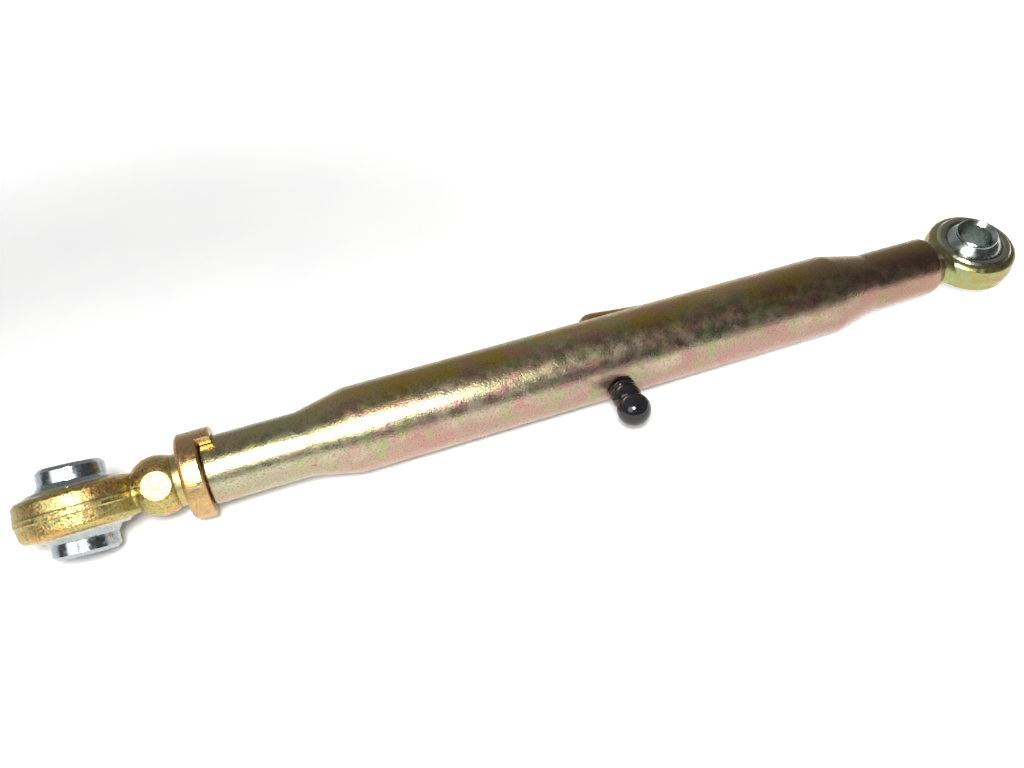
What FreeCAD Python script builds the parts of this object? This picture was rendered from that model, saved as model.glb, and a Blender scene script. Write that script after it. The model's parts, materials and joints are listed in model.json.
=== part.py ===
import FreeCAD, Part
import math
import os

# Tractor top link: a swaged tube with a right-hand thread in one end and a left-hand
# thread in the other, two forged rod ends with swivelling balls, a round lock nut, and a
# bent handle bar that folds along the tube and turns it.
#
# Frame, in millimetres: the centre of the left ball is the origin, +X runs along the link
# to the right ball, and +Z is up while the closed link lies on a floor.

Vector = FreeCAD.Vector
ORIGIN = Vector(0, 0, 0)
X_AXIS = Vector(1, 0, 0)
Y_AXIS = Vector(0, 1, 0)
Z_AXIS = Vector(0, 0, 1)

# ---- Driving dimensions -------------------------------------------------------------

# Tube: 48.3 mm pipe with both ends swaged down for the threads
tube_length = 462.0
tube_od = 48.3
tube_wall = 5.0
swaged_od = 36.2
swaged_length = 52.0
swage_taper = 27.0
swage_blend = 14.0
plain_end_chamfer = 1.0
long_chamfer_length = 6.0
long_chamfer_depth = 3.0

# Thread of both rods: M30 x 3, rolled on a shank of its pitch diameter
thread_major = 30.0
thread_pitch = 3.0
thread_radial_clearance = 0.05
thread_length = 150.0
thread_lead_in = 2.5
bore_countersink = 1.2

# Closed rod ends: from the outer edge of each eye to the tube's end
left_eye_to_tube = 34.2
right_eye_to_tube = 2.8

# How each end is turned about the link, from +Z towards +Y, in degrees
left_eye_roll = 43.7
right_eye_roll = -10.5
knob_roll = -99.8

# Left ball, for the larger pin
left_bore = 25.4
left_ball_diameter = 45.0
left_ball_width = 47.0
left_sleeve_od = 33.4
left_sleeve_chamfer = 2.0
left_bore_chamfer = 1.2
left_ball_tilt = 3.0
left_tilt_limit = 10.0

# Right ball, for the smaller pin
right_bore = 19.3
right_ball_diameter = 40.6
right_ball_width = 36.0
right_hub_od = 25.4
right_hub_chamfer = 0.5
right_bore_chamfer = 2.2
right_ball_tilt = 3.0
right_tilt_limit = 20.0

ball_race_clearance = 0.06
tilt_clearance = 0.2
sleeve_fillet = 1.0

# Forged eyes
left_eye_wall = 8.7
left_rim_step = 3.3
left_lip_width = 3.2
right_eye_wall = 7.9
right_rim_step = 2.9
right_lip_width = 4.2
eye_face_step = 1.2
eye_rim_crown = 1.0
eye_edge_radius = 2.6
eye_edge_slope = 1.8
lip_height = 1.0
lip_round = 0.7
lip_root = 0.2

# Left neck, wrench collar and shank: places are from the outer edge of the eye
left_neck_back = 4.2
left_neck_thickness = 18.8
left_neck_width = 25.0
left_neck_blend = 8.0
left_neck_inset = 2.4
collar_from_eye = 9.8
collar_diameter = 32.6
collar_flats = 28.6
collar_flat_diameter = 15.0
left_thread_from_eye = 20.8

# Right neck
right_neck_back = 7.0
right_neck_width = 35.0
right_neck_thickness = 19.0
right_neck_to_round = 1.0

# Lock nut
nut_od = 46.8
nut_width = 11.2
nut_chamfer = 1.8
nut_tube_gap = 0.3
lug_reach = 7.4
lug_root = 5.0
lug_tube_clearance = 0.6
lug_angle = 90.0
lug_roll = 48.0
lug_flat_depth = 0.7
lug_corner = 2.0

# Handle bar and knob
handle_bar_diameter = 10.0
handle_hole_clearance = 0.1
handle_bend_offset = 0.3
handle_bend_radius = 5.8
handle_arm_length = 165.0
handle_arm_droop = 8.5
handle_end_chamfer = 1.5
knob_gap = 0.5
knob_collar_diameter = 16.4
knob_collar_width = 3.0
knob_bead_diameter = 17.0
knob_bead_reach = 6.8
knob_ball_diameter = 19.4
knob_ball_reach = 16.4
knob_waist_diameter = 13.0
knob_fillet = 0.8
knob_bar_depth = 17.0

# ---- Places worked out from them ----------------------------------------------------

left_eye_radius = left_ball_diameter / 2 + left_eye_wall
right_eye_radius = right_ball_diameter / 2 + right_eye_wall
tube_start = left_eye_radius + left_eye_to_tube
tube_end = tube_start + tube_length
tube_middle = tube_start + tube_length / 2
right_eye_x = tube_end + right_eye_to_tube + right_eye_radius
tube_radius = tube_od / 2
swaged_radius = swaged_od / 2
rod_thread_radius = thread_major / 2
shank_radius = (thread_major - 0.6495 * thread_pitch) / 2
threaded_bore_radius = rod_thread_radius + thread_radial_clearance
nut_end = tube_start - nut_tube_gap
nut_start = nut_end - nut_width
handle_radius = handle_bar_diameter / 2
knob_start = tube_radius + knob_gap


# ---- Helpers ------------------------------------------------------------------------

def rounded_outline(corners):
    """Closed wire through (along, out, radius) corners in the XZ plane. Each corner with a
    radius becomes an arc tangent to both of its sides."""
    points = [Vector(along, 0, out) for along, out, _ in corners]
    starts, ends, edges = [], [], []
    for n, (_, _, radius) in enumerate(corners):
        here = points[n]
        back = (points[n - 1] - here).normalize()
        ahead = (points[(n + 1) % len(points)] - here).normalize()
        if radius == 0:
            starts.append(here)
            ends.append(here)
            edges.append(None)
            continue
        half_angle = back.getAngle(ahead) / 2
        setback = radius / math.tan(half_angle)
        bisector = (back + ahead).normalize()
        centre = here + bisector * (radius / math.sin(half_angle))
        starts.append(here + back * setback)
        ends.append(here + ahead * setback)
        edges.append(Part.Arc(starts[-1], centre - bisector * radius, ends[-1]).toShape())
    sides = []
    for n, corner_arc in enumerate(edges):
        if corner_arc is not None:
            sides.append(corner_arc)
        nearest = starts[(n + 1) % len(points)]
        if (nearest - ends[n]).Length > 1e-6:
            sides.append(Part.makeLine(ends[n], nearest))
    return Part.Wire(Part.__sortEdges__(sides))


def turned_on_x(corners):
    """Solid of revolution about X from (x, radius, corner radius) corners."""
    return Part.Face(rounded_outline(corners)).revolve(ORIGIN, X_AXIS, 360)


def turned_on_z(corners):
    """Solid of revolution about Z from (radius, height, corner radius) corners."""
    return Part.Face(rounded_outline(corners)).revolve(ORIGIN, Z_AXIS, 360)


def cylinder_x(radius, start, end):
    return Part.makeCylinder(radius, end - start, Vector(start, 0, 0), X_AXIS)


def ring_edges(shape, radius, tolerance=0.02):
    """Circles of one radius among a shape's edges."""
    edges = [edge for edge in shape.Edges if not edge.Degenerated]
    return [
        edge for edge in edges
        if isinstance(edge.Curve, Part.Circle) and abs(edge.Curve.Radius - radius) < tolerance
    ]


def in_place(shape, roll, x):
    """Turn an end piece about the link's axis and move it along the link."""
    turned = shape.copy()
    turned.rotate(ORIGIN, X_AXIS, -roll)
    turned.translate(Vector(x, 0, 0))
    return turned


def facing_left(shape):
    """Turn a piece that was built pointing to +X so that it points to -X."""
    turned = shape.copy()
    turned.rotate(ORIGIN, Z_AXIS, 180)
    return turned


# ---- Tube ---------------------------------------------------------------------------

def make_tube():
    taper_start = swaged_length
    taper_end = swaged_length + swage_taper
    bore_radius = tube_radius - tube_wall
    chamfer = plain_end_chamfer
    outside = turned_on_x([
        (0, 0, 0),
        (0, swaged_radius - chamfer, 0),
        (chamfer, swaged_radius, 0),
        (taper_start, swaged_radius, swage_blend),
        (taper_end, tube_radius, swage_blend),
        (tube_length - taper_end, tube_radius, swage_blend),
        (tube_length - taper_start, swaged_radius, swage_blend),
        (tube_length - long_chamfer_length, swaged_radius, 1.5),
        (tube_length, swaged_radius - long_chamfer_depth, 0),
        (tube_length, 0, 0),
    ])
    sink = bore_countersink
    thread = threaded_bore_radius
    inside = turned_on_x([
        (-1, 0, 0),
        (-1, thread + sink + 1, 0),
        (sink, thread, 0),
        (taper_start, thread, 0),
        (taper_end, bore_radius, 0),
        (tube_length - taper_end, bore_radius, 0),
        (tube_length - taper_start, thread, 0),
        (tube_length - sink, thread, 0),
        (tube_length + 1, thread + sink + 1, 0),
        (tube_length + 1, 0, 0),
    ])
    tube = outside.cut(inside)
    tube.translate(Vector(tube_start, 0, 0))
    hole = Part.makeCylinder(handle_radius + handle_hole_clearance, tube_od + 10,
                             Vector(0, 0, -tube_od / 2 - 5), Z_AXIS)
    return tube.cut(in_place(hole, knob_roll, tube_middle))


# ---- Rod ends -----------------------------------------------------------------------

def race_width(race_radius, sleeve_radius, tilt_limit):
    """Width of a race that lets a ball's sleeve tilt to its limit before it meets the lip."""
    slope = math.tan(math.radians(tilt_limit))
    reach = sleeve_radius / math.cos(math.radians(tilt_limit)) + tilt_clearance
    steep = 1 + slope ** 2
    root = math.sqrt((reach * slope) ** 2 - steep * (reach ** 2 - race_radius ** 2))
    return 2 * (root - reach * slope) / steep


def eye_solid(rim, rim_step, width, lip_width, race_radius):
    """Forged ring on Z with a crowned rim, coned faces and a staked lip round the race."""
    race_half = width / 2
    lip_inner = math.sqrt(race_radius ** 2 - race_half ** 2)
    lip_outer = lip_inner + lip_width
    upper = [
        (0, race_half, 0),
        (lip_inner, race_half, 0),
        (lip_inner + lip_height, race_half + lip_height, lip_round),
        (lip_outer, race_half + lip_height, lip_round),
        (lip_outer + lip_height, race_half - lip_root, lip_round),
        (rim - eye_rim_crown - eye_edge_slope, race_half - eye_face_step, eye_edge_radius),
        (rim - eye_rim_crown, race_half - rim_step, 0),
        (rim, 0, 0),
    ]
    lower = [(out, -up, radius) for out, up, radius in reversed(upper[:-1])]
    return turned_on_z(upper + lower)


def ellipse_section(x, width, thickness):
    """Closed section of a neck at x: wide across the eye's plane, thin along its axis."""
    if width == thickness:
        curve = Part.Circle(ORIGIN, Z_AXIS, width / 2)
    else:
        curve = Part.Ellipse(ORIGIN, width / 2, thickness / 2)
    section = Part.Wire(curve.toShape())
    section.rotate(ORIGIN, Vector(1, 1, 1), 120)
    section.translate(Vector(x, 0, 0))
    return section


def threaded_end(start):
    """The threaded length, as a plain cylinder on its major diameter."""
    end = start + thread_length
    return turned_on_x([
        (start, 0, 0),
        (start, rod_thread_radius, 0),
        (end - thread_lead_in, rod_thread_radius, 0),
        (end, rod_thread_radius - thread_lead_in, 0),
        (end, 0, 0),
    ])


def make_left_rod_end():
    race_radius = left_ball_diameter / 2 + ball_race_clearance
    width = race_width(race_radius, left_sleeve_od / 2, left_tilt_limit)
    rim = left_eye_radius
    eye = eye_solid(rim, left_rim_step, width, left_lip_width, race_radius)
    neck_x = rim - left_neck_back
    collar_x = rim + collar_from_eye
    collar_radius = collar_diameter / 2
    neck = Part.makeLoft([
        ellipse_section(neck_x - 1.6 * left_neck_blend, 1.84 * left_neck_width,
                        width - 2 * left_rim_step),
        ellipse_section(neck_x - 0.6 * left_neck_blend, 1.24 * left_neck_width,
                        width - 2 * left_neck_inset),
        ellipse_section(neck_x, left_neck_width, left_neck_thickness),
        ellipse_section(neck_x + 0.8 * left_neck_blend, left_neck_width + 1,
                        left_neck_thickness + 4),
    ], True)
    collar = Part.makeSphere(collar_radius, Vector(collar_x, 0, 0))
    pad_depth = collar_radius - collar_flats / 2 + 1
    for side in (-1, 1):
        pad = Part.makeCylinder(collar_flat_diameter / 2, pad_depth,
                                Vector(collar_x, side * collar_flats / 2, 0),
                                Vector(0, side, 0))
        collar = collar.cut(pad)
    thread_start = rim + left_thread_from_eye
    shank = cylinder_x(shank_radius, collar_x, thread_start)
    rod = eye.fuse([neck, collar, shank, threaded_end(thread_start)]).cut(Part.makeSphere(race_radius))
    return in_place(rod.removeSplitter(), left_eye_roll, 0)


def make_right_rod_end():
    race_radius = right_ball_diameter / 2 + ball_race_clearance
    width = race_width(race_radius, right_hub_od / 2, right_tilt_limit)
    rim = right_eye_radius
    eye = eye_solid(rim, right_rim_step, width, right_lip_width, race_radius)
    round_from = rim + right_neck_to_round
    neck = Part.makeLoft([
        ellipse_section(rim - 2 * right_neck_back, 1.25 * right_neck_width,
                        width - 2 * right_rim_step),
        ellipse_section(rim - right_neck_back, right_neck_width, right_neck_thickness),
        ellipse_section(round_from, thread_major, thread_major),
    ], True)
    rod = eye.fuse([neck, threaded_end(round_from)]).cut(Part.makeSphere(race_radius))
    return in_place(facing_left(rod.removeSplitter()), right_eye_roll, right_eye_x)


def ball_solid(ball_diameter, width, hub_od, bore, hub_chamfer, bore_chamfer):
    """Bored ball turned on Z, with a sleeve at each side that blends into the ball."""
    half = width / 2
    ball = ball_diameter / 2
    hub = hub_od / 2
    hole = bore / 2
    blend = sleeve_fillet
    blend_out = hub + blend
    blend_up = math.sqrt((ball + blend) ** 2 - blend_out ** 2)
    on_ball = ball / (ball + blend)
    halfway = math.radians(180) + math.atan2(blend_up, blend_out) / 2

    def point(out, up, side):
        return Vector(out, 0, side * up)

    edges = []
    for side in (-1, 1):
        corners = [
            point(hole, half - bore_chamfer, side),
            point(hole + bore_chamfer, half, side),
            point(hub - hub_chamfer, half, side),
            point(hub, half - hub_chamfer, side),
            point(hub, blend_up, side),
        ]
        edges += [Part.makeLine(corners[n], corners[n + 1]) for n in range(len(corners) - 1)]
        edges.append(Part.Arc(
            corners[-1],
            point(blend_out + blend * math.cos(halfway),
                  blend_up + blend * math.sin(halfway), side),
            point(blend_out * on_ball, blend_up * on_ball, side)).toShape())
    edges.append(Part.Arc(point(blend_out * on_ball, blend_up * on_ball, 1),
                          point(ball, 0, 1),
                          point(blend_out * on_ball, blend_up * on_ball, -1)).toShape())
    edges.append(Part.makeLine(point(hole, half - bore_chamfer, 1),
                               point(hole, half - bore_chamfer, -1)))
    section = Part.Face(Part.Wire(Part.__sortEdges__(edges)))
    return section.revolve(ORIGIN, Z_AXIS, 360)


def make_left_ball():
    ball = ball_solid(left_ball_diameter, left_ball_width, left_sleeve_od, left_bore,
                      left_sleeve_chamfer, left_bore_chamfer)
    ball.rotate(ORIGIN, Y_AXIS, left_ball_tilt)
    return in_place(ball, left_eye_roll, 0)


def make_right_ball():
    ball = ball_solid(right_ball_diameter, right_ball_width, right_hub_od, right_bore,
                      right_hub_chamfer, right_bore_chamfer)
    ball.rotate(ORIGIN, Y_AXIS, -right_ball_tilt)
    return in_place(ball, right_eye_roll, right_eye_x)


# ---- Lock nut -----------------------------------------------------------------------

def make_lock_nut():
    radius = nut_od / 2
    sink = bore_countersink
    bore = threaded_bore_radius
    ring = turned_on_x([
        (nut_start, bore + sink, 0),
        (nut_start, radius - nut_chamfer, 0),
        (nut_start + nut_chamfer, radius, 0.6),
        (nut_end - nut_chamfer / 2, radius, 0.6),
        (nut_end, radius - nut_chamfer / 2, 0),
        (nut_end, bore + sink, 0),
        (nut_end - sink, bore, 0),
        (nut_start + sink, bore, 0),
    ])
    lug_inner = swaged_radius + lug_tube_clearance
    lug_start = nut_end - lug_root
    lug_end = nut_end + lug_reach
    section = rounded_outline([
        (lug_start, lug_inner, 0),
        (lug_start, radius, 0),
        (lug_end, radius, lug_corner),
        (lug_end, lug_inner, 0.8),
    ])
    lug = Part.Face(section).revolve(ORIGIN, X_AXIS, lug_angle)
    lug.rotate(ORIGIN, X_AXIS, -lug_angle / 2)
    flat_plane = radius - lug_flat_depth
    above_flat = Part.makeBox(lug_reach + 10, 2 * radius, radius,
                              Vector(nut_end, -radius, flat_plane))
    lug = lug.cut(above_flat)
    return ring.fuse(in_place(lug, lug_roll, 0)).removeSplitter()


# ---- Handle -------------------------------------------------------------------------

def make_handle_bar():
    """Round bar through the tube on Z: knob end up, then a tight bend and a long arm."""
    near_end = knob_start + knob_bar_depth
    bend_start = -tube_radius - handle_bend_offset
    bend = handle_bend_radius
    corner = math.sqrt(0.5)
    arm_z = bend_start - bend
    path = Part.Wire([
        Part.makeLine(Vector(0, 0, near_end), Vector(0, 0, bend_start)),
        Part.Arc(Vector(0, 0, bend_start),
                 Vector(bend - bend * corner, 0, bend_start - bend * corner),
                 Vector(bend, 0, arm_z)).toShape(),
        Part.makeLine(Vector(bend, 0, arm_z), Vector(handle_arm_length, 0, arm_z)),
    ])
    section = Part.Wire(Part.makeCircle(handle_radius, Vector(0, 0, near_end), Z_AXIS))
    bar = path.makePipeShell([section], True, True)
    ends = [
        edge for edge in ring_edges(bar, handle_radius)
        if abs(edge.Curve.Center.z - near_end) < 0.01
        or abs(edge.Curve.Center.x - handle_arm_length) < 0.01
    ]
    bar = bar.makeChamfer(handle_end_chamfer, ends)
    bar.rotate(ORIGIN, Z_AXIS, -handle_arm_droop)
    return in_place(bar, knob_roll, tube_middle)


def make_handle_knob():
    """Moulded knob on Z: a collar, a bead and a ball, with a blind hole for the bar."""
    collar_end = knob_start + knob_collar_width
    bead_centre = knob_start + knob_bead_reach
    ball_centre = knob_start + knob_ball_reach
    collar = Part.makeCylinder(knob_collar_diameter / 2, knob_collar_width,
                               Vector(0, 0, knob_start), Z_AXIS)
    collar = collar.makeFillet(knob_fillet, ring_edges(collar, knob_collar_diameter / 2))
    waist = Part.makeCylinder(knob_waist_diameter / 2, ball_centre - knob_start - 1,
                              Vector(0, 0, knob_start + 1), Z_AXIS)
    bead = Part.makeSphere(knob_bead_diameter / 2, Vector(0, 0, bead_centre))
    below = Part.makeBox(60, 60, 20, Vector(-30, -30, collar_end - 20 - 0.5))
    ball = Part.makeSphere(knob_ball_diameter / 2, Vector(0, 0, ball_centre))
    hole = Part.makeCylinder(handle_radius, knob_bar_depth, Vector(0, 0, knob_start), Z_AXIS)
    knob = collar.fuse([waist, bead.cut(below), ball]).cut(hole).removeSplitter()
    return in_place(knob, knob_roll, tube_middle)


# ---- Build --------------------------------------------------------------------------

pieces = {
    "tube": make_tube(),
    "left_rod_end": make_left_rod_end(),
    "left_ball": make_left_ball(),
    "right_rod_end": make_right_rod_end(),
    "right_ball": make_right_ball(),
    "lock_nut": make_lock_nut(),
    "handle_bar": make_handle_bar(),
    "handle_knob": make_handle_knob(),
}

os.makedirs("parts", exist_ok=True)
for name, shape in pieces.items():
    box = shape.BoundBox
    print(f"{name}: {len(shape.Solids)} solid, valid {shape.isValid()}, "
          f"volume {shape.Volume / 1000:.1f} cm3, x {box.XMin:.1f} to {box.XMax:.1f}, "
          f"y {box.YMin:.1f} to {box.YMax:.1f}, z {box.ZMin:.1f} to {box.ZMax:.1f}")
    shape.exportStep(f"parts/{name}.step")
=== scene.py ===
# %% [markdown]
# # A tractor top link
#
# A top link is the third arm of a tractor's hitch. A thick tube has a right-hand thread in
# one end and a left-hand thread in the other, so turning it pushes both rod ends out or
# pulls both in. This lesson dresses a finished construction model of it: every piece is
# remade here with a finer mesh, real threads and forged skin, and gets a plated finish.
#
# The construction model is loaded first. Its boxes, mounts and joint axes say where each
# piece belongs, so nothing has to be fitted by eye.

import json
import math

import bmesh
import bpy
from mathutils import Matrix, Vector


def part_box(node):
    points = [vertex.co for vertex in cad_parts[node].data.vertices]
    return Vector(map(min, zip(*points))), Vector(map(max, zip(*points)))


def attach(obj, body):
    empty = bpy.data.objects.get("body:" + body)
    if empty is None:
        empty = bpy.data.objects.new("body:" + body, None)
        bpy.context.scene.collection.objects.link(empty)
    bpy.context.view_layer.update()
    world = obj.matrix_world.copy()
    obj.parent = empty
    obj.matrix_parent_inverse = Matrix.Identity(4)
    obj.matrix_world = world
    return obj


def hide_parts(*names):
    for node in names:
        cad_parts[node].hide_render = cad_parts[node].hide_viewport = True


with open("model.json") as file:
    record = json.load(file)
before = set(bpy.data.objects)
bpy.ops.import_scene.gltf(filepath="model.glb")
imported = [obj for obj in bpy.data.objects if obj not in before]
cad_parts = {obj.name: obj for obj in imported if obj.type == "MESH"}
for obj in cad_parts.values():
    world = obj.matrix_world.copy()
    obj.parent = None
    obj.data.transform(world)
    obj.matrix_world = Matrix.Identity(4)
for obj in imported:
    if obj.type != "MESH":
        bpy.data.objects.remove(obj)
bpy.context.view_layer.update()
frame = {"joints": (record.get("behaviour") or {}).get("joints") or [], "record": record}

# %% [markdown]
# ## Places and sizes
#
# The link lies along X, with the left ball at the origin. Each end is turned about the link
# by its own angle, and each ball is tilted a little in its eye. Both facts are in the
# record: a swivel joint's axis lies across the eye, and a mount's axis is the ball's bore.

# %% Read places from the record
MM = 0.001
DOUBLES_GAP = 0.002 * MM
SLIVER_GAP = 0.01 * MM
X_AXIS = Vector((1, 0, 0))
Z_AXIS = Vector((0, 0, 1))

joints = {joint["name"]: joint for joint in frame["joints"]}
mounts = {mount["name"]: mount for mount in frame["record"]["mounts"]}


def axis_frame(centre, up, along):
    """Matrix whose Z is up and whose X is as near to along as it can be."""
    z = Vector(up).normalized()
    x = (Vector(along) - z * z.dot(Vector(along))).normalized()
    matrix = Matrix((x, z.cross(x), z)).transposed().to_4x4()
    matrix.translation = Vector(centre)
    return matrix


left_centre = Vector(mounts["left_bore"]["pos_m"])
right_centre = Vector(mounts["right_bore"]["pos_m"])
left_eye_up = X_AXIS.cross(Vector(joints["left_swivel"]["axis"]))
right_eye_up = X_AXIS.cross(Vector(joints["right_swivel"]["axis"]))
left_eye_frame = axis_frame(left_centre, left_eye_up, X_AXIS)
right_eye_frame = axis_frame(right_centre, right_eye_up, -X_AXIS)
left_ball_frame = axis_frame(left_centre, mounts["left_bore"]["axis"], X_AXIS)
right_ball_frame = axis_frame(right_centre, mounts["right_bore"]["axis"], -X_AXIS)
knob_up = Vector(joints["handle_swing"]["axis"])
handle_frame = axis_frame(joints["handle_swing"]["pos_m"], knob_up, X_AXIS)
tube_low, tube_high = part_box("tube")
print("tube from", tube_low.x, "to", tube_high.x, "right ball at", right_centre.x)

# %% [markdown]
# ## Drawing and turning an outline
#
# Most of this object was made on a lathe or swaged round, so most pieces start as half of
# their section. One vertex is placed, extruded from corner to corner as one would draw with
# a pencil, and the outline is then spun a full turn. A lathe would leave small rounds at
# the corners, so a helper turns sharp corners into arcs before the outline is drawn.

# %% Helpers for outlines
def deselect_everything():
    for thing in list(bpy.context.selected_objects):
        thing.select_set(False)
    bpy.context.view_layer.objects.active = None


def choose(piece):
    """Makes one piece the only selected one, and active."""
    deselect_everything()
    piece.select_set(True)
    bpy.context.view_layer.objects.active = piece


def arc_points(centre, radius, start, end, steps):
    """Points on an arc in the outline's plane, from one angle in degrees to another."""
    points = []
    for step in range(steps + 1):
        angle = math.radians(start + (end - start) * step / steps)
        points.append((centre[0] + radius * math.cos(angle),
                       centre[1] + radius * math.sin(angle)))
    return points


def rounded_outline(corners, steps=5):
    """Turns (along, out, radius) corners in millimetres into points, with each radius as an
    arc tangent to its two sides."""
    places = [Vector(corner[:2]) for corner in corners]
    points = []
    for n, corner in enumerate(corners):
        here = places[n]
        radius = corner[2] if len(corner) > 2 else 0
        if not radius:
            points.append(tuple(here))
            continue
        back = (places[n - 1] - here).normalized()
        ahead = (places[(n + 1) % len(places)] - here).normalized()
        half_angle = back.angle(ahead) / 2
        setback = radius / math.tan(half_angle)
        centre = here + (back + ahead).normalized() * radius / math.sin(half_angle)
        first = here + back * setback - centre
        last = here + ahead * setback - centre
        for step in range(steps + 1):
            points.append(tuple(centre + first.slerp(last, step / steps) * radius))
    return points


def start_point(name, place):
    """Begins a piece as a single vertex in edit mode."""
    deselect_everything()
    bpy.ops.mesh.primitive_plane_add(size=MM, location=(0, 0, 0))
    piece = bpy.context.object
    piece.name = name
    piece.data.name = name
    bpy.ops.object.mode_set(mode="EDIT")
    bpy.ops.mesh.select_all(action="SELECT")
    bpy.ops.mesh.merge(type="CENTER")
    bpy.ops.transform.translate(value=place)
    return piece


def signed_volume(piece):
    """Positive when the faces of a closed mesh point outwards."""
    measure = bmesh.new()
    measure.from_mesh(piece.data)
    volume = measure.calc_volume(signed=True)
    measure.free()
    return volume


def turned(name, points, axis="X", steps=128, closed=True):
    """A lathe-turned piece from (along, out) points in millimetres."""
    def place(point):
        along, out = point[0] * MM, point[1] * MM
        return Vector((along, 0, out)) if axis == "X" else Vector((out, 0, along))

    piece = start_point(name, place(points[0]))
    rest = points[1:] + points[:1] if closed else points[1:]
    here = place(points[0])
    for point in rest:
        step = place(point) - here
        bpy.ops.mesh.extrude_region_move(TRANSFORM_OT_translate={"value": step})
        here = place(point)
    bpy.ops.mesh.select_all(action="SELECT")
    bpy.ops.mesh.remove_doubles(threshold=DOUBLES_GAP)
    turn = X_AXIS if axis == "X" else Z_AXIS
    bpy.ops.mesh.spin(steps=steps, angle=math.tau, center=(0, 0, 0), axis=turn)
    bpy.ops.mesh.select_all(action="SELECT")
    bpy.ops.mesh.remove_doubles(threshold=DOUBLES_GAP)
    bpy.ops.mesh.normals_make_consistent(inside=False)
    bpy.ops.object.mode_set(mode="OBJECT")
    if signed_volume(piece) < 0:
        bpy.ops.object.mode_set(mode="EDIT")
        bpy.ops.mesh.flip_normals()
        bpy.ops.object.mode_set(mode="OBJECT")
    return piece


# %% [markdown]
# ## Placing, cutting and finishing
#
# A finished piece keeps its object at the origin and its place in its mesh, so it is moved
# with a matrix that is applied straight away. Cuts and joints are boolean modifiers that
# are applied too, which is how one would cut a hole through a part and then keep modelling.

# %% Helpers for whole pieces
def put(piece, matrix):
    """Moves a piece into place and bakes the move into its mesh."""
    choose(piece)
    piece.matrix_world = matrix @ piece.matrix_world
    bpy.ops.object.transform_apply(location=True, rotation=True, scale=True)
    return piece


def finish_modifier(piece, modifier):
    choose(piece)
    bpy.ops.object.modifier_apply(modifier=modifier.name)


def combine(piece, other, how):
    """Cuts, joins or intersects a piece with another one, which is used up. Cuts leave
    slivers thinner than a hair, so what lies closer than SLIVER_GAP is merged."""
    modifier = piece.modifiers.new(how.lower(), "BOOLEAN")
    modifier.operation = how
    modifier.solver = "MANIFOLD"
    modifier.object = other
    finish_modifier(piece, modifier)
    bpy.data.objects.remove(other)
    bpy.ops.object.mode_set(mode="EDIT")
    bpy.ops.mesh.select_all(action="SELECT")
    bpy.ops.mesh.remove_doubles(threshold=SLIVER_GAP)
    bpy.ops.mesh.dissolve_degenerate(threshold=SLIVER_GAP)
    bpy.ops.mesh.quads_convert_to_tris()
    bpy.ops.object.mode_set(mode="OBJECT")
    return piece


def smooth_shaded(piece, angle=30):
    choose(piece)
    bpy.ops.object.shade_smooth_by_angle(angle=math.radians(angle))
    return piece


def dress(piece, body, node, material):
    """Gives a finished piece its body and its finish, and hides the construction part that it stands for.
    """
    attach(piece, body)
    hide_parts(node)
    piece.data.materials.clear()
    piece.data.materials.append(material)
    triangles = sum(len(face.vertices) - 2 for face in piece.data.polygons)
    print(piece.name, "has", triangles, "triangles")


# %% [markdown]
# ## Nodes for plated metal
#
# Yellow-passivated zinc is a thin clear film on steel, and its colour drifts with the film's
# thickness: gold, green, pink and mauve clouds a few millimetres to a few centimetres wide.
# Under that lies the metal's own skin: drawn smooth on the tube, grainy on the forgings,
# turned in rings on the balls. A small wrapper keeps the many nodes short to write.

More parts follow.
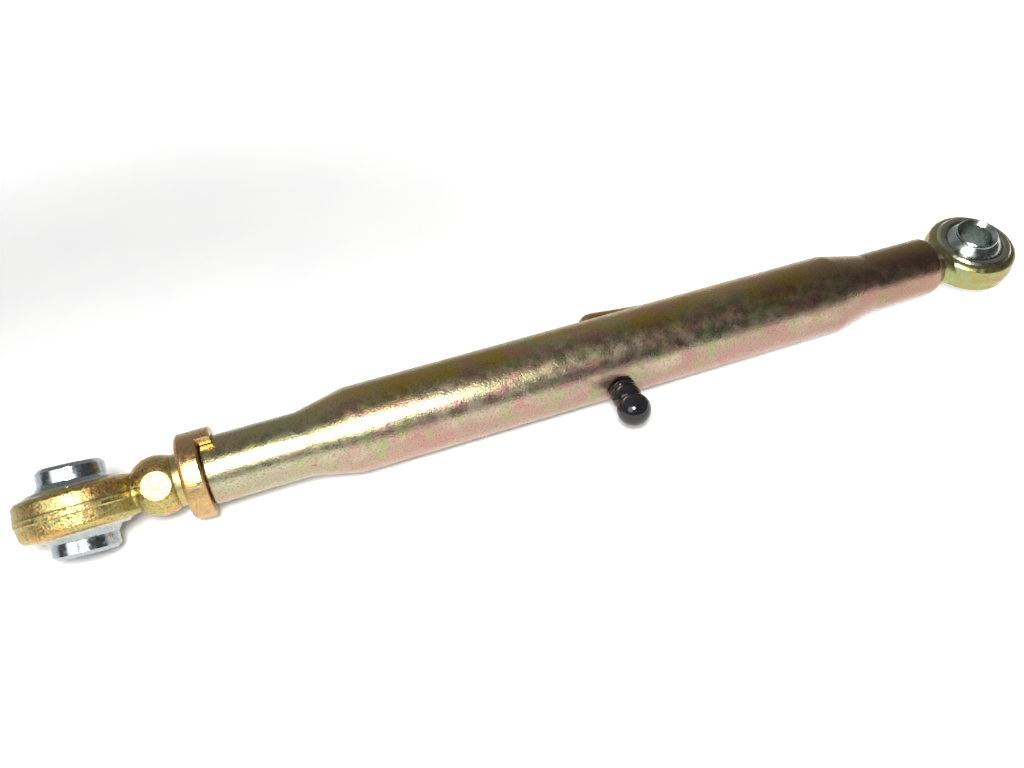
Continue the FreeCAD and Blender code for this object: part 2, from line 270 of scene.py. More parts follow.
# %% A small node writer
class Finish:
    """One material and short calls for the nodes that it is made of."""

    def __init__(self, name, metallic, roughness):
        self.material = bpy.data.materials.new(name)
        self.material.use_nodes = True
        self.nodes = self.material.node_tree.nodes
        self.links = self.material.node_tree.links
        self.shader = self.nodes["Principled BSDF"]
        self.shader.inputs["Metallic"].default_value = metallic
        self.shader.inputs["Roughness"].default_value = roughness
        self.place = self.nodes.new("ShaderNodeTexCoord").outputs["Object"]

    def feed(self, socket, value):
        if isinstance(value, bpy.types.NodeSocket):
            self.links.new(value, socket)
        else:
            socket.default_value = value

    def maths(self, how, first, second=0.0):
        node = self.nodes.new("ShaderNodeMath")
        node.operation = how
        self.feed(node.inputs[0], first)
        self.feed(node.inputs[1], second)
        return node.outputs[0]

    def axes(self, place=None):
        node = self.nodes.new("ShaderNodeSeparateXYZ")
        self.feed(node.inputs[0], place or self.place)
        return node.outputs[0], node.outputs[1], node.outputs[2]

    def local(self, matrix):
        """Coordinates in a piece's own frame, for marks that follow its turning axis."""
        node = self.nodes.new("ShaderNodeMapping")
        node.vector_type = "TEXTURE"
        node.inputs["Location"].default_value = matrix.translation
        node.inputs["Rotation"].default_value = matrix.to_euler()
        self.feed(node.inputs["Vector"], self.place)
        return node.outputs[0]

    def stretched(self, scale, place=None):
        node = self.nodes.new("ShaderNodeMapping")
        node.inputs["Scale"].default_value = scale
        self.feed(node.inputs["Vector"], place or self.place)
        return node.outputs[0]

    def cloud(self, size_mm, detail=3.0, warp=0.0, place=None):
        """Noise whose blotches are about size_mm wide."""
        node = self.nodes.new("ShaderNodeTexNoise")
        node.inputs["Scale"].default_value = 1 / (size_mm * MM)
        node.inputs["Detail"].default_value = detail
        node.inputs["Distortion"].default_value = warp
        self.feed(node.inputs["Vector"], place or self.place)
        return node.outputs["Fac"]

    def spread(self, value, low, high, new_low=0.0, new_high=1.0):
        node = self.nodes.new("ShaderNodeMapRange")
        node.interpolation_type = "SMOOTHSTEP"
        for socket, number in zip(node.inputs[:5], (value, low, high, new_low, new_high)):
            self.feed(socket, number)
        return node.outputs[0]

    def ramp(self, value, stops):
        node = self.nodes.new("ShaderNodeValToRGB")
        elements = node.color_ramp.elements
        while len(elements) < len(stops):
            elements.new(0.5)
        for element, (position, colour) in zip(elements, stops):
            element.position = position
            element.color = (*colour, 1)
        self.feed(node.inputs[0], value)
        return node.outputs[0]

    def blend(self, amount, first, second, how="MIX"):
        node = self.nodes.new("ShaderNodeMix")
        node.data_type = "RGBA"
        node.blend_type = how
        self.feed(node.inputs[0], amount)
        for socket, colour in ((node.inputs[6], first), (node.inputs[7], second)):
            self.feed(socket, colour if isinstance(colour, bpy.types.NodeSocket)
                      else (*colour, 1))
        return node.outputs[2]

    def bumps(self, height, depth_mm, strength=1.0, under=None):
        node = self.nodes.new("ShaderNodeBump")
        node.inputs["Strength"].default_value = strength
        node.inputs["Distance"].default_value = depth_mm * MM
        self.feed(node.inputs["Height"], height)
        if under is not None:
            self.feed(node.inputs["Normal"], under)
        return node.outputs[0]

    def use(self, colour=None, roughness=None, normal=None):
        for name, value in (("Base Color", colour), ("Roughness", roughness),
                            ("Normal", normal)):
            if value is not None:
                self.feed(self.shader.inputs[name], value)
        return self.material


# %% [markdown]
# ## The tube's finish
#
# The film's gold is laid in bands round the tube that paint in light: old gold along the top
# with painted shade along the far edge, a painted silvery highlight along the near side where
# the streak lamp shines, a darker painted band under it, and a pinkish painted reflection of
# the floor low on the near side. Pink and green clouds of the film lie over it all, with small
# rust-red spots below where drops dried. It also cools to a green silver at the left end and
# warms to a brown at the right. The angle round the tube comes from Y and Z, so the bands stay
# on the tube from every side. A grain a millimetre wide breaks the shine into sparkles.

# %% Tube finish
def tube_finish():
    finish = Finish("yellow zinc on drawn tube", 1.0, 0.3)
    x, y, z = finish.axes()
    around = finish.maths("ARCTAN2", y, z)
    drift = finish.cloud(22, 4, 0.6, finish.stretched((0.45, 1, 1)))
    wavy = finish.maths("ADD", around, finish.spread(drift, 0.2, 0.8, -0.5, 0.5))
    turn = finish.maths("ADD", finish.maths("DIVIDE", wavy, math.tau), 0.5)
    # Painted light by angle round the tube: gold on top (0.50), painted shade at the far edge (0.62), a
    # painted silvery highlight under the streak lamp (0.34), a darker painted band below it (0.26) and a
    # pinkish painted reflection of the floor low on the near side (0.14).
    film = finish.ramp(turn, [
        (0.02, (0.42, 0.33, 0.22)),
        (0.14, (0.44, 0.27, 0.22)),
        (0.26, (0.40, 0.28, 0.22)),
        (0.34, (0.50, 0.42, 0.30)),
        (0.42, (0.46, 0.38, 0.20)),
        (0.50, (0.44, 0.30, 0.06)),
        (0.62, (0.36, 0.26, 0.07)),
        (0.78, (0.42, 0.28, 0.18)),
        (0.90, (0.38, 0.36, 0.22)),
    ])
    green = finish.spread(finish.cloud(13, 3, 0.5), 0.50, 0.64)
    film = finish.blend(finish.maths("MULTIPLY", green, 0.65), film, (0.32, 0.36, 0.16))
    pink = finish.spread(finish.cloud(12, 2, 0.4, finish.stretched((0.7, 1.1, 1.1))), 0.48, 0.64)
    film = finish.blend(finish.maths("MULTIPLY", pink, 0.6), film, (0.46, 0.22, 0.21))
    cool = finish.spread(x, 0.10, 0.17, 0.55, 0.0)
    film = finish.blend(cool, film, (0.38, 0.40, 0.25))
    warm = finish.spread(x, 0.36, 0.50, 0.0, 0.6)
    film = finish.blend(warm, film, (0.30, 0.17, 0.11))
    spots = finish.nodes.new("ShaderNodeTexVoronoi")
    spots.inputs["Scale"].default_value = 1 / (11 * MM)
    finish.feed(spots.inputs["Vector"], finish.place)
    spot = finish.spread(spots.outputs["Distance"], 0.05, 0.15, 0.75, 0.0)
    below = finish.spread(around, -1.2, -1.7, 0.0, 1.0)
    spot = finish.maths("MULTIPLY", spot, below)
    spot = finish.maths("MULTIPLY", spot, finish.spread(finish.cloud(40, 2), 0.45, 0.6))
    film = finish.blend(spot, film, (0.42, 0.13, 0.08))
    grain = finish.cloud(1.0, 2)
    film = finish.blend(finish.spread(grain, 0.35, 0.50, 0.45, 0.0), film, (0.16, 0.11, 0.06))
    sparkle = finish.bumps(grain, 0.14)
    roughness = finish.spread(finish.cloud(6, 4), 0.3, 0.7, 0.26, 0.36)
    return finish.use(film, roughness, sparkle)


tube_metal = tube_finish()

# %% [markdown]
# ## The forgings' finish
#
# The rod ends are drop forgings. Their skin keeps the grain of the scale that was blasted
# off, so the same zinc film looks rougher and more golden, with orange and green clouds.
# Two sizes of noise make the skin: a coarse one for the blasted pits and a fine one for the
# sparkle on top, and the colour is darker in the coarse pits, the more so the deeper they are.
# The colour follows a slower cloud that is warped so that no two places look alike.

# %% Forging finish
def forging_finish(name, gold, green, warm, pit_depth=0.16):
    finish = Finish(name, 1.0, 0.36)
    slow = finish.cloud(14, 4, 1.0)
    film = finish.ramp(slow, [(0.30, warm), (0.44, gold), (0.56, green), (0.68, gold)])
    copper = finish.spread(finish.cloud(5, 4, 1.8), 0.55, 0.72, 0.0, 0.55)
    film = finish.blend(copper, film, (0.62, 0.30, 0.16))
    scale = finish.cloud(1.2, 3)
    # The film is darker in the pits of the coarse noise, more so the deeper the pits are.
    dark = finish.spread(scale, 0.35, 0.50, 2.5 * pit_depth, 0.0)
    film = finish.blend(dark, film, (0.14, 0.09, 0.04))
    roughness = finish.spread(finish.cloud(3, 4), 0.3, 0.7, 0.28, 0.48)
    coarse = finish.bumps(scale, pit_depth)
    fine = finish.bumps(finish.cloud(0.5, 2), 0.05, 1.0, coarse)
    return finish.use(film, roughness, fine)


left_forging_metal = forging_finish("gold zinc on forging", (0.56, 0.40, 0.14),
                                    (0.40, 0.38, 0.15), (0.58, 0.28, 0.11), 0.26)
right_forging_metal = forging_finish("olive zinc on forging", (0.34, 0.31, 0.11),
                                     (0.32, 0.35, 0.17), (0.34, 0.25, 0.15), 0.05)

# %% [markdown]
# ## Turned steel, cut threads and the knob
#
# The balls, the race lips and the nut were turned, so their marks are rings round their own
# axis. In the piece's own frame the radius and the height tell which ring a point is on, and
# noise that depends only on those two gives rings. The nut's rim has fine lines along it
# instead, made by a wave of the angle.

# %% Turned finishes
def turned_finish(name, matrix, colours, ring_mm=0.25, depth_mm=0.012, roughness=(0.16, 0.3)):
    finish = Finish(name, 1.0, 0.25)
    x, y, z = finish.axes(finish.local(matrix))
    radius = finish.maths("SQRT", finish.maths("ADD", finish.maths("MULTIPLY", x, x),
                                               finish.maths("MULTIPLY", y, y)))
    ring_place = finish.nodes.new("ShaderNodeCombineXYZ")
    finish.feed(ring_place.inputs[0], radius)
    finish.feed(ring_place.inputs[1], z)
    rings = finish.cloud(ring_mm, 3, 0, ring_place.outputs[0])
    stain = finish.cloud(7, 4, 1.0)
    film = finish.ramp(stain, colours)
    film = finish.blend(finish.spread(rings, 0.3, 0.7, 0.25, 0.0), film,
                        (0.20, 0.20, 0.20))
    low, high = roughness
    shine = finish.spread(finish.cloud(2.5, 3), 0.3, 0.7, low, high)
    return finish.use(film, shine, finish.bumps(rings, depth_mm))


def nut_finish():
    finish = Finish("copper zinc on turned nut", 1.0, 0.3)
    x, y, z = finish.axes()
    around = finish.maths("ARCTAN2", y, z)
    wobble = finish.spread(finish.cloud(4, 2), 0.3, 0.7, -0.02, 0.02)
    lines = finish.maths("SINE", finish.maths("MULTIPLY",
                                              finish.maths("ADD", around, wobble), 150))
    film = finish.ramp(finish.cloud(9, 4, 1.0), [
        (0.32, (0.34, 0.20, 0.08)), (0.50, (0.52, 0.32, 0.14)), (0.66, (0.42, 0.34, 0.14))])
    film = finish.blend(finish.spread(finish.cloud(1.2, 3), 0.5, 0.7, 0.0, 0.5), film,
                        (0.68, 0.44, 0.28))
    shine = finish.spread(finish.cloud(3, 3), 0.3, 0.7, 0.25, 0.4)
    grain = finish.bumps(finish.cloud(0.6, 3), 0.05)
    return finish.use(film, shine, finish.bumps(lines, 0.03, 0.8, grain))


def knob_finish():
    finish = Finish("black moulded plastic", 0.0, 0.14)
    finish.shader.inputs["Specular IOR Level"].default_value = 0.5
    tone = finish.ramp(finish.cloud(6, 3), [(0.3, (0.006, 0.006, 0.008)),
                                            (0.7, (0.014, 0.013, 0.013))])
    scuffs = finish.spread(finish.cloud(1.4, 4, 0.5, finish.stretched((1, 6, 1))), 0.62, 0.75)
    shine = finish.maths("ADD", finish.maths("MULTIPLY", scuffs, 0.25), 0.13)
    return finish.use(tone, shine, finish.bumps(finish.cloud(4, 2), 0.03))


steel = [(0.3, (0.28, 0.31, 0.34)), (0.5, (0.42, 0.45, 0.47)), (0.7, (0.34, 0.38, 0.37))]
olive_steel = [(0.3, (0.40, 0.36, 0.26)), (0.5, (0.56, 0.54, 0.42)), (0.7, (0.46, 0.46, 0.30))]
left_ball_metal = turned_finish("bright steel, left ball", left_ball_frame, steel)
right_ball_metal = turned_finish("bright steel, right ball", right_ball_frame, [
    (0.3, (0.34, 0.38, 0.32)), (0.5, (0.50, 0.54, 0.54)), (0.7, (0.40, 0.45, 0.38))])
left_lip_metal = turned_finish("staked lip, left", left_eye_frame, olive_steel, 0.4)
right_lip_metal = turned_finish("staked lip, right", right_eye_frame, olive_steel, 0.4)
nut_metal = nut_finish()
knob_plastic = knob_finish()

# %% [markdown]
# ## The tube
#
# The tube is one length of pipe, squeezed down at both ends until it fits the threads. Half
# of its section, outside and inside, is drawn as one closed outline and spun. The hole for
# the handle is then cut straight through with a turned pin of the hole's size.

# %% Tube
tube_length = 462.0
tube_radius = 24.15
end_chamfer = (6.0, 3.0)
hole_radius = 5.1
swaged_radius = 18.1
bore_radius = 15.05
inner_radius = 19.15
swaged_length = 52.0
taper_end = 79.0
blend_radius = 14.0
handle_radius = 5.0


def make_tube():
    start = tube_low.x / MM
    end = start + tube_length
    outline = rounded_outline([
        (start, bore_radius + 1.2, 0.2),
        (start, swaged_radius - 1.0, 0.3),
        (start + 1.0, swaged_radius, 0.6),
        (start + swaged_length, swaged_radius, blend_radius),
        (start + taper_end, tube_radius, blend_radius),
        (end - taper_end, tube_radius, blend_radius),
        (end - swaged_length, swaged_radius, blend_radius),
        (end - end_chamfer[0], swaged_radius, 3.0),
        (end, swaged_radius - end_chamfer[1], 0),
        (end, bore_radius, 0),
        (end - swaged_length, bore_radius, 0),
        (end - taper_end, inner_radius, 0),
        (start + taper_end, inner_radius, 0),
        (start + swaged_length, bore_radius, 0),
        (start + 1.2, bore_radius, 0),
    ], 8)
    piece = turned("tube_body", outline, "X", 160)
    pin = turned("hole_cutter", [(-40, 0), (-40, hole_radius), (40, hole_radius), (40, 0)], "Z", 64, False)
    put(pin, handle_frame)
    return combine(piece, pin, "DIFFERENCE")


tube_body = smooth_shaded(make_tube())
dress(tube_body, "tube", "tube", tube_metal)

# %% [markdown]
# ## Swivel balls
#
# Each ball has a turned sleeve on both sides that carries the pin. The left one is for the
# larger pin and has long sleeves, the right one has short hubs. Both are the same outline
# with other numbers: bore, chamfer, sleeve, a small blend, and the arc of the ball.

# %% Balls
def ball_outline(ball, width, hub, bore, hub_chamfer, bore_chamfer):
    """Closed half outline of a ball in millimetres, from radii and the full width."""
    half = width / 2
    blend = 1.0
    blend_up = math.sqrt((ball + blend) ** 2 - (hub + blend) ** 2)
    meeting = math.degrees(math.atan2(blend_up, hub + blend))
    top = [(half - bore_chamfer, bore), (half, bore + bore_chamfer),
           (half, hub - hub_chamfer), (half - hub_chamfer, hub)]
    top += [(up, out) for out, up in arc_points(
        (hub + blend, blend_up), blend, 180, 180 + meeting, 6)]
    arc = [(up, out) for out, up in arc_points((0, 0), ball, meeting, 0, 16)][1:]
    upper = top + arc
    lower = [(-along, out) for along, out in reversed(upper[:-1])]
    return upper + lower


left_ball = turned("left_swivel_ball", ball_outline(22.5, 47, 16.7, 12.7, 2.0, 1.2), "Z", 128)
put(left_ball, left_ball_frame)
dress(smooth_shaded(left_ball), "left_ball", "left_ball", left_ball_metal)

right_ball = turned("right_swivel_ball", ball_outline(20.3, 36, 12.7, 9.65, 0.5, 2.2), "Z", 128)
put(right_ball, right_ball_frame)
dress(smooth_shaded(right_ball), "right_ball", "right_ball", right_ball_metal)

# %% [markdown]
# ## Forged rod ends
#
# A forging has no sharp inside corners: metal flowed into a die, so eye, neck and collar
# melt into each other. Rough blanks that overlap are joined, rebuilt as one even skin with
# a voxel remesh, and smoothed until their meeting lines turn into fillets. The two halves of
# the die met in the middle of the rim and left a double line there. After that come the
# cuts of the machine shop: the race for the ball and the flats for a wrench.

# %% Helpers for forgings
def stretched_blank(name, sections, sides=64):
    """A blank along X through (x, width, thickness) ellipses, drawn by extruding a circle."""
    deselect_everything()
    x, width, thickness = sections[0]
    bpy.ops.mesh.primitive_circle_add(vertices=sides, radius=MM, fill_type="NGON")
    piece = bpy.context.object
    piece.name = name
    piece.rotation_euler = (0, math.pi / 2, 0)
    bpy.ops.object.transform_apply(location=True, rotation=True, scale=True)
    bpy.ops.object.mode_set(mode="EDIT")
    bpy.ops.mesh.select_all(action="SELECT")
    bpy.ops.transform.resize(value=(1, width / 2, thickness / 2), center_override=(0, 0, 0))
    bpy.ops.transform.translate(value=(x * MM, 0, 0))
    for next_x, next_width, next_thickness in sections[1:]:
        step = ((next_x - x) * MM, 0, 0)
        bpy.ops.mesh.extrude_region_move(TRANSFORM_OT_translate={"value": step})
        bpy.ops.transform.resize(value=(1, next_width / width, next_thickness / thickness),
                                 center_override=(next_x * MM, 0, 0))
        x, width, thickness = next_x, next_width, next_thickness
    bpy.ops.mesh.select_all(action="SELECT")
    bpy.ops.mesh.normals_make_consistent(inside=False)
    bpy.ops.object.mode_set(mode="OBJECT")
    return piece


def forged(name, blanks, voxel_mm=0.55, rounds=5):
    """Melts overlapping blanks into one skin with soft fillets."""
    deselect_everything()
    for blank in blanks:
        blank.select_set(True)
    bpy.context.view_layer.objects.active = blanks[0]
    bpy.ops.object.join()
    piece = bpy.context.object
    piece.name = name
    piece.data.name = name
    remesh = piece.modifiers.new("one skin", "REMESH")
    remesh.mode = "VOXEL"
    remesh.voxel_size = voxel_mm * MM
    finish_modifier(piece, remesh)
    soften = piece.modifiers.new("fillets", "SMOOTH")
    soften.factor = 0.5
    soften.iterations = rounds
    finish_modifier(piece, soften)
    return piece


def add_die_line(piece, gap_mm, width_mm, height_mm):
    """Raises the double line that the two halves of the die left round the rim."""
    places = [vertex.co.copy() for vertex in piece.data.vertices]
    normals = [vertex.normal.copy() for vertex in piece.data.vertices]
    for place, normal in zip(places, normals):
        facing_side = max(0, 0.5 - abs(normal.z)) * 4
        off_line = (abs(place.z) / MM - gap_mm) / width_mm
        raise_mm = height_mm * math.exp(-off_line ** 2) * min(1, facing_side)
        place += normal * raise_mm * MM
    piece.data.vertices.foreach_set("co", [number for place in places for number in place])
    piece.data.update()


def roughen(piece, grain_mm, depth_mm):
    """Blasted scale pits, as real relief."""
    clouds = bpy.data.textures.new("scale pits", "CLOUDS")
    clouds.noise_scale = grain_mm * MM
    clouds.noise_depth = 3
    relief = piece.modifiers.new("scale", "DISPLACE")
    relief.texture = clouds
    relief.texture_coords = "LOCAL"
    relief.strength = depth_mm * MM
    relief.mid_level = 1.0
    finish_modifier(piece, relief)


def eye_blank(name, rim, race_half, rim_step, lip_outer):
    """The eye's ring before its race is cut, turned about Z."""
    upper = [
        (race_half - 0.2, 8, 0),
        (race_half - 0.2, lip_outer + 1.0, 0),
        (race_half - 1.2, rim - 2.8, 2.4),
        (race_half - rim_step, rim - 1.0, 0),
        (0, rim, 0),
    ]
    lower = [(-along, out, radius) for along, out, radius in reversed(upper[:-1])]
    return turned(name, rounded_outline(upper + lower, 6), "Z", 128)


def cut_race(piece, radius):
    cutter = turned("race_cutter", [(up, out) for out, up in arc_points(
        (0, 0), radius, 90, -90, 48)], "Z", 96, False)
    return combine(piece, cutter, "DIFFERENCE")


# %% [markdown]
# ## Threads
#
# The rods carry a coarse thread with a pitch of 3 mm. One pitch of its profile is drawn as
# four straight lines, and the Screw modifier sweeps it round and along at once. One end is
# left-handed: there the sweep goes the other way. The long blank that limits the thread, with
# its chamfered end, is intersected with it.

# %% Thread helper
pitch = 3.0
thread_radius = 15.0


def threaded_rod(name, start, end, hand):
    """A rod about X from start to end in millimetres, threaded all along."""
    root = thread_radius - 0.6134 * pitch
    crest = thread_radius - 0.02
    profile = [(0, root), (pitch / 4, root), (pitch * 9 / 16, crest),
               (pitch * 11 / 16, crest), (pitch, root)]
    piece = start_point(name, ((start - 2 * pitch) * MM, 0, root * MM))
    here = profile[0]
    for point in profile[1:]:
        step = ((point[0] - here[0]) * MM, 0, (point[1] - here[1]) * MM)
        bpy.ops.mesh.extrude_region_move(TRANSFORM_OT_translate={"value": step})
        here = point
    bpy.ops.object.mode_set(mode="OBJECT")
    screw = piece.modifiers.new("thread", "SCREW")
    screw.axis = "X"
    screw.angle = math.tau * hand
    screw.screw_offset = pitch * MM
    screw.iterations = math.ceil((end - start) / pitch) + 4
    screw.steps = 48
    screw.render_steps = 48
    screw.use_merge_vertices = True
    screw.merge_threshold = DOUBLES_GAP
    finish_modifier(piece, screw)
    bpy.ops.object.mode_set(mode="EDIT")
    for place, keep_inner in ((start, False), (end, True)):
        bpy.ops.mesh.select_all(action="SELECT")
        bpy.ops.mesh.bisect(plane_co=(place * MM, 0, 0), plane_no=(1, 0, 0), use_fill=True,
                            clear_inner=not keep_inner, clear_outer=keep_inner)
    bpy.ops.mesh.select_all(action="SELECT")
    bpy.ops.mesh.remove_doubles(threshold=DOUBLES_GAP)
    bpy.ops.mesh.normals_make_consistent(inside=False)
    bpy.ops.object.mode_set(mode="OBJECT")
    limit = turned("thread_blank", [(start - 1, 0), (start - 1, root - 0.4), (start, root - 0.4),
                                    (start + 2, thread_radius), (end - 2.5, thread_radius),
                                    (end - 0.01, thread_radius - 2.5), (end - 0.01, 0)],
                   "X", 96, False)
    return combine(piece, limit, "INTERSECT")


# %% [markdown]
# ## The left rod end
#
# From left to right: the eye, a narrow neck, a round collar with two wrench flats, a short
# turned shank and the thread. Eye, neck and collar are one forging. The staked lip round
# the ball is turned bright, so it is a ring of its own that sits in the forging's face.

# %% Left rod end
def staked_lip(name, race, race_half, lip_width, side):
    """The lip that holds the ball in, pressed over from the eye's face."""
    inner = math.sqrt(race ** 2 - race_half ** 2)
    deep = race_half - 3.0
    outline = rounded_outline([
        (deep, math.sqrt(race ** 2 - deep ** 2), 0),
        (race_half, inner, 0.2),
        (race_half + 1.0, inner + 1.0, 0.7),
        (race_half + 1.0, inner + lip_width, 0.7),
        (race_half - 0.4, inner + lip_width + 1.4, 0),
        (deep, inner + lip_width + 1.4, 0),
    ], 5)
    return turned(name, [(side * along, out) for along, out in outline], "Z", 128)


def lip_pair(name, race, race_half, lip_width, place):
    """Both lips of an eye as one piece of two closed rings."""
    top = staked_lip(name, race, race_half, lip_width, 1)
    bottom = staked_lip(name + "_other", race, race_half, lip_width, -1)
    deselect_everything()
    bottom.select_set(True)
    top.select_set(True)
    bpy.context.view_layer.objects.active = top
    bpy.ops.object.join()
    return put(smooth_shaded(top), place)


left_race = 22.56
left_race_half = 11.79
left_rim = 31.0
collar_x = 41.0
left_thread_start = 52.0
left_rod_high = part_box("left_rod_end")[1]


def make_left_forging():
    blanks = [
        eye_blank("left_eye_blank", left_rim, left_race_half, 3.3, 22.6),
        stretched_blank("left_neck_blank", [(13, 46, 17), (22, 31, 18.5), (27, 24, 18.0),
                                            (33, 26, 23), (40, 24, 24)]),
        turned("collar_blank", [(collar_x + along, out) for along, out in arc_points(
            (0, 0), 16.3, 180, 0, 32)], "X", 96, False),
    ]
    piece = forged("left_forging", blanks)
    roughen(piece, 1.6, 0.25)
    add_die_line(piece, 1.2, 0.5, 0.32)
    for side in (-1, 1):
        flat = turned("flat_cutter", [(-3, 0), (-3, 7.5), (3, 7.5), (3, 0)], "Z", 64, False)
        put(flat, axis_frame((collar_x * MM, side * (14.3 + 3) * MM, 0), (0, 1, 0), X_AXIS))
        combine(piece, flat, "DIFFERENCE")
    cut_race(piece, left_race)
    return put(smooth_shaded(piece, 22), left_eye_frame)


left_forging = make_left_forging()
dress(left_forging, "left_rod", "left_rod_end", left_forging_metal)

left_lips = lip_pair("left_staked_lips", left_race, left_race_half, 3.2, left_eye_frame)
dress(left_lips, "left_rod", "left_rod_end", left_lip_metal)


def make_left_rod():
    shank = turned("left_threaded_rod", rounded_outline([
        (38, 0, 0), (38, 13, 0), (44, 14.0, 0), (47.2, 14.0, 0.3), (48, 13.2, 0.3),
        (49, 13.2, 0.3), (49.8, 14.0, 0.3), (left_thread_start + 1, 14.0, 0),
        (left_thread_start + 1, 0, 0)], 3), "X", 96, False)
    rod = threaded_rod("left_thread_part", left_thread_start, left_rod_high.x / MM, -1)
    return combine(shank, rod, "UNION")


left_rod = smooth_shaded(make_left_rod())
rod_metal = forging_finish("gold zinc on rolled thread", (0.54, 0.38, 0.15),
                           (0.42, 0.40, 0.18), (0.56, 0.32, 0.15), 0.04)
dress(left_rod, "left_rod", "left_rod_end", rod_metal)

# %% [markdown]
# ## The right rod end
#
# The right eye is smaller, with a wide bright lip and no collar: its neck goes straight from
# the eye into the threaded rod. It is drawn pointing to the left end and turned into place.

# %% Right rod end
right_race = 20.36
right_race_half = 10.4
right_rim = 28.0
right_thread_start = 29.5
right_rod_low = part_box("right_rod_end")[0]


def make_right_forging():
    blanks = [
        eye_blank("right_eye_blank", right_rim, right_race_half, 2.9, 21.7),
        stretched_blank("right_neck_blank", [(13, 44, 15), (21, 35, 19), (27, 30.6, 27.5),
                                             (29.2, 29.8, 29.8), (31.5, 29.8, 29.8)]),
    ]
    piece = forged("right_forging", blanks)
    roughen(piece, 1.6, 0.1)
    add_die_line(piece, 1.2, 0.5, 0.12)
    cut_race(piece, right_race)
    return put(smooth_shaded(piece, 22), right_eye_frame)


right_forging = make_right_forging()
dress(right_forging, "right_rod", "right_rod_end", right_forging_metal)

right_lips = lip_pair("right_staked_lips", right_race, right_race_half, 4.2, right_eye_frame)
dress(right_lips, "right_rod", "right_rod_end", right_lip_metal)

reach = (right_centre.x - right_rod_low.x) / MM
right_rod = threaded_rod("right_threaded_rod", right_thread_start, reach, 1)
put(right_rod, right_eye_frame)
dress(smooth_shaded(right_rod), "right_rod", "right_rod_end", rod_metal)

# %% [markdown]
# ## The lock nut
#
# A round nut with a lug that reaches over the end of the tube. The ring is turned first,
# with a circle of edges at the lug's inner radius. The faces of its end that lie inside the
# lug's sector are selected and extruded along the link, which gives a lug that is one piece
# with the ring.

# %% Lock nut
nut_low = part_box("lock_nut")[0]
nut_radius = 23.4
nut_width = 11.2
lug_inner = 18.7
lug_reach = 7.4
lug_half_angle = 45.0
lug_roll = 48.0


def make_nut():
    start = nut_low.x / MM
    end = start + nut_width
    bore = thread_radius + 0.05
    outline = rounded_outline([
        (start, bore + 1.2, 0.2),
        (start, nut_radius - 1.8, 1.2),
        (start + 1.8, nut_radius, 0.8),
        (end - 0.9, nut_radius, 0.5),
        (end, nut_radius - 0.9, 0),
        (end, lug_inner, 0),
        (end, bore + 1.2, 0),
        (end - 1.2, bore, 0),
        (start + 1.2, bore, 0),
    ], 4)
    piece = turned("round_lock_nut", outline, "X", 144)
    bpy.ops.object.mode_set(mode="EDIT")
    bpy.ops.mesh.select_all(action="DESELECT")
    bpy.ops.object.mode_set(mode="OBJECT")
    for face in piece.data.polygons:
        centre = face.center
        out = math.hypot(centre.y, centre.z)
        roll = math.degrees(math.atan2(centre.y, centre.z))
        in_sector = abs(roll - lug_roll) < lug_half_angle
        on_end = centre.x > (end - 1.0) * MM and out > lug_inner * MM
        face.select = in_sector and on_end
    bpy.ops.object.mode_set(mode="EDIT")
    bpy.ops.mesh.select_mode(type="FACE")
    bpy.ops.mesh.extrude_region_move(
        TRANSFORM_OT_translate={"value": (lug_reach * MM, 0, 0)})
    bpy.ops.mesh.select_mode(type="VERT")
    bpy.ops.object.mode_set(mode="OBJECT")
    edges = piece.modifiers.new("broken edges", "BEVEL")
    edges.width = 0.45 * MM
    edges.segments = 3
    edges.limit_method = "ANGLE"
    edges.angle_limit = math.radians(50)
    finish_modifier(piece, edges)
    return piece


lock_nut = smooth_shaded(make_nut())
dress(lock_nut, "lock_nut", "lock_nut", nut_metal)

# %% [markdown]
# ## The handle
#
# The bar starts as a disc at the knob's end, is extruded straight through the tube, spun a
# quarter turn for the bend and extruded again for the arm that folds along the tube. Its
# free end gets a chamfer. The knob is turned: a collar, a bead, a waist and a ball.

# %% Handle bar and knob
knob_start = tube_radius + 0.5
bend_start = -tube_radius - 0.3
bend_radius = 5.8
arm_length = 165.0
arm_droop = 8.5


def make_bar():
    deselect_everything()
    bpy.ops.mesh.primitive_circle_add(vertices=48, radius=handle_radius * MM,
                                      fill_type="NGON")
    piece = bpy.context.object
    piece.name = "bent_handle_bar"
    top = (knob_start + 17.0) * MM
    bpy.ops.object.mode_set(mode="EDIT")
    bpy.ops.mesh.select_all(action="SELECT")
    bpy.ops.transform.translate(value=(0, 0, top))
    down = (0, 0, bend_start * MM - top)
    bpy.ops.mesh.extrude_region_move(TRANSFORM_OT_translate={"value": down})
    bpy.ops.mesh.spin(steps=16, angle=math.pi / 2, axis=(0, 1, 0),
                      center=(bend_radius * MM, 0, bend_start * MM))
    along = ((arm_length - bend_radius) * MM, 0, 0)
    bpy.ops.mesh.extrude_region_move(TRANSFORM_OT_translate={"value": along})
    bpy.ops.mesh.select_all(action="SELECT")
    bpy.ops.mesh.normals_make_consistent(inside=False)
    bpy.ops.object.mode_set(mode="OBJECT")
    ends = piece.modifiers.new("chamfered ends", "BEVEL")
    ends.width = 1.5 * MM
    ends.segments = 2
    ends.limit_method = "ANGLE"
    ends.angle_limit = math.radians(60)
    finish_modifier(piece, ends)
    return piece


handle_bar = make_bar()
droop = Matrix.Rotation(-math.radians(arm_droop), 4, "Z")
put(smooth_shaded(handle_bar), handle_frame @ droop)
bar_metal = forging_finish("orange zinc on drawn bar", (0.50, 0.30, 0.12),
                           (0.44, 0.34, 0.16), (0.56, 0.28, 0.12), 0.03)
dress(handle_bar, "handle", "handle_bar", bar_metal)


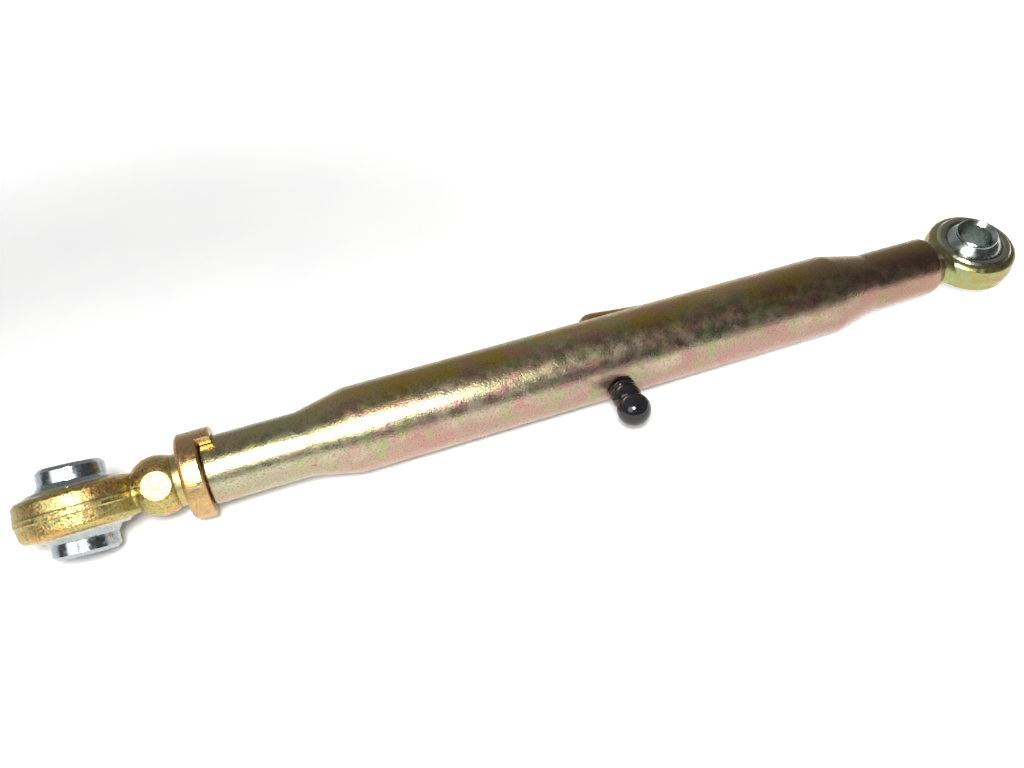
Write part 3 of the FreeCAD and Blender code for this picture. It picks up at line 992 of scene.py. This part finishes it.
def make_knob():
    bead = knob_start + 6.8
    ball = knob_start + 16.4
    hole_end = knob_start + 17.0
    outline = [(hole_end, 0), (hole_end, handle_radius), (knob_start, handle_radius)]
    outline += rounded_outline([(knob_start, 7.0, 0), (knob_start, 8.2, 0.8),
                                (knob_start + 2.7, 8.2, 0.6), (knob_start + 3.0, 7.6, 0)], 4)
    outline += arc_points((bead, 0), 8.5, 150, 52, 14)
    outline += arc_points((ball, 0), 9.7, 136, 0, 28)
    return turned("moulded_knob", outline, "Z", 96, False)


knob = put(smooth_shaded(make_knob(), 25), handle_frame)
dress(knob, "handle", "handle_knob", knob_plastic)

# %% [markdown]
# ## Floor, light and camera
#
# The link lies on a plain pale floor. One soft lamp near the camera gives the long streak
# along the tube, a weak wide one fills in from the left, and a plain grey room does the
# rest. The room is darker on the camera's side, which gives round metal its dark band.

# %% Floor
floor_drop = 27.15 * MM
shoulder_x = (tube_low.x / MM + tube_length - taper_end) * MM
shoulder_drop = 24.2 * MM
slope = math.atan2(floor_drop - shoulder_drop, shoulder_x)


def make_floor():
    deselect_everything()
    bpy.ops.mesh.primitive_plane_add(size=24)
    piece = bpy.context.object
    piece.name = "floor"
    piece.matrix_world = (Matrix.Translation((0, 0, -floor_drop))
                          @ Matrix.Rotation(-slope, 4, "Y"))
    finish = Finish("pale floor", 0.0, 0.75)
    tone = finish.ramp(finish.cloud(60, 3), [(0.3, (0.83, 0.83, 0.83)),
                                             (0.7, (0.86, 0.86, 0.85))])
    finish.shader.inputs["Specular IOR Level"].default_value = 0.1
    finish.shader.inputs["Emission Color"].default_value = (1, 1, 1, 1)
    x, y, z = finish.axes()
    away = finish.maths("SQRT", finish.maths("ADD", finish.maths("MULTIPLY", x, x),
                                             finish.maths("MULTIPLY", y, y)))
    glow = finish.spread(away, 0.25, 0.8, 0.10, 0.95)
    finish.feed(finish.shader.inputs["Emission Strength"], glow)
    finish.use(tone, None, finish.bumps(finish.cloud(1.5, 2), 0.02))
    piece.data.materials.append(finish.material)


make_floor()

# %% Lights
def soft_lamp(name, place, aim, size, watts, colour=(1, 1, 1)):
    data = bpy.data.lights.new(name, "AREA")
    data.shape = "DISK"
    data.size = size
    data.energy = watts
    data.color = colour
    lamp = bpy.data.objects.new(name, data)
    lamp.location = place
    lamp.rotation_euler = (Vector(aim) - Vector(place)).to_track_quat("-Z", "Y").to_euler()
    bpy.context.scene.collection.objects.link(lamp)


middle = Vector((0.28, 0, 0))
soft_lamp("streak lamp", (0.06, -0.50, 0.62), (0.20, 0, 0), 0.22, 10)
soft_lamp("wide fill", (-0.9, -0.9, 1.1), middle, 1.2, 12)

world = bpy.data.worlds.new("plain room")
bpy.context.scene.world = world
world.use_nodes = True
room = world.node_tree
background = room.nodes["Background"]
room_place = room.nodes.new("ShaderNodeTexCoord")
room_axes = room.nodes.new("ShaderNodeSeparateXYZ")
room_ramp = room.nodes.new("ShaderNodeValToRGB")
room_side = room.nodes.new("ShaderNodeMapRange")
room_side.inputs["From Min"].default_value = -1.0
room_stops = [(0.0, 0.06), (0.45, 0.08), (0.60, 0.16), (0.80, 0.30), (0.93, 0.42), (1.0, 0.30)]
while len(room_ramp.color_ramp.elements) < len(room_stops):
    room_ramp.color_ramp.elements.new(0.5)
for element, (side, grey) in zip(room_ramp.color_ramp.elements, room_stops):
    element.position = side
    element.color = (grey, grey, grey, 1)
room.links.new(room_place.outputs["Generated"], room_axes.inputs[0])
room.links.new(room_axes.outputs[1], room_side.inputs["Value"])
room.links.new(room_side.outputs[0], room_ramp.inputs[0])
room.links.new(room_ramp.outputs[0], background.inputs["Color"])
background.inputs["Strength"].default_value = 1.0

# %% Camera
camera_place = Vector((0.1199, -0.3706, 0.3420))
camera_aim = Vector((0.2344, -0.0129, 0.0120))
camera_roll = math.radians(4.12)


def make_camera():
    forward = (camera_aim - camera_place).normalized()
    level_right = forward.cross(Z_AXIS).normalized()
    level_up = level_right.cross(forward)
    right = level_right * math.cos(camera_roll) - level_up * math.sin(camera_roll)
    up = right.cross(forward)
    matrix = Matrix((right, up, -forward)).transposed().to_4x4()
    matrix.translation = camera_place
    data = bpy.data.cameras.new("camera")
    data.sensor_width = 36
    data.lens = 31.64
    data.clip_start = 0.01
    camera = bpy.data.objects.new("camera", data)
    bpy.context.scene.collection.objects.link(camera)
    camera.matrix_world = matrix
    bpy.context.scene.camera = camera


make_camera()
bpy.context.scene.view_settings.view_transform = "Standard"
